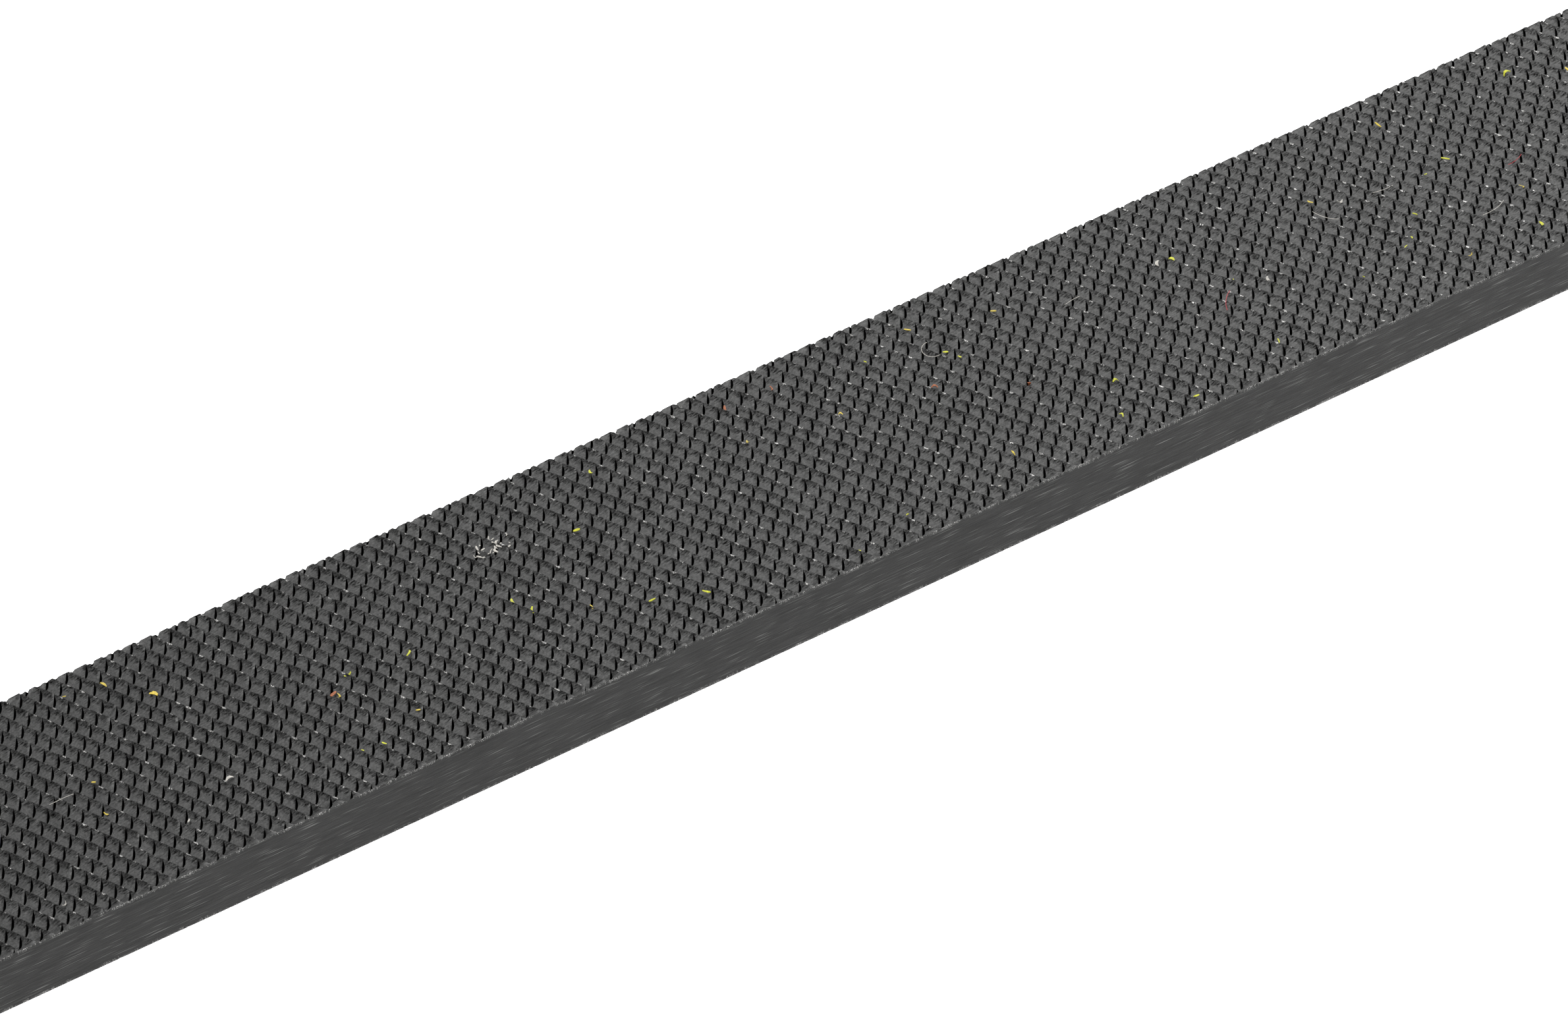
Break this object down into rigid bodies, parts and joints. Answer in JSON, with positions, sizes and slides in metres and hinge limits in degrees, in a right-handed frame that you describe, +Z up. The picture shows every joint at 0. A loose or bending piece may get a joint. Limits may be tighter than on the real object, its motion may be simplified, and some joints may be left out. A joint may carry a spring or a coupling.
{
  "type": "flat file",
  "caption": "Double-cut flat hand file, parallel blade with one smooth safe edge, tang in a turned wooden handle with a steel ferrule.",
  "frame": {"origin": "under the middle of the whole tool's length, at the height of the lowest point of the handle", "axes": "+X along the blade from handle to tip, +Z up, square to the flat faces, -Y out of the smooth safe edge"},
  "size_m": [0.257, 0.026, 0.026],
  "materials": {
    "tool_steel": "satin, dark grey hardened tool steel",
    "ferrule_steel": "satin, plated sheet steel",
    "handle_wood": "clear varnished beech"
  },
  "bodies": {
    "root": {"blade": "tool_steel", "ferrule": "ferrule_steel", "handle": "handle_wood"}
  },
  "joints": []
}
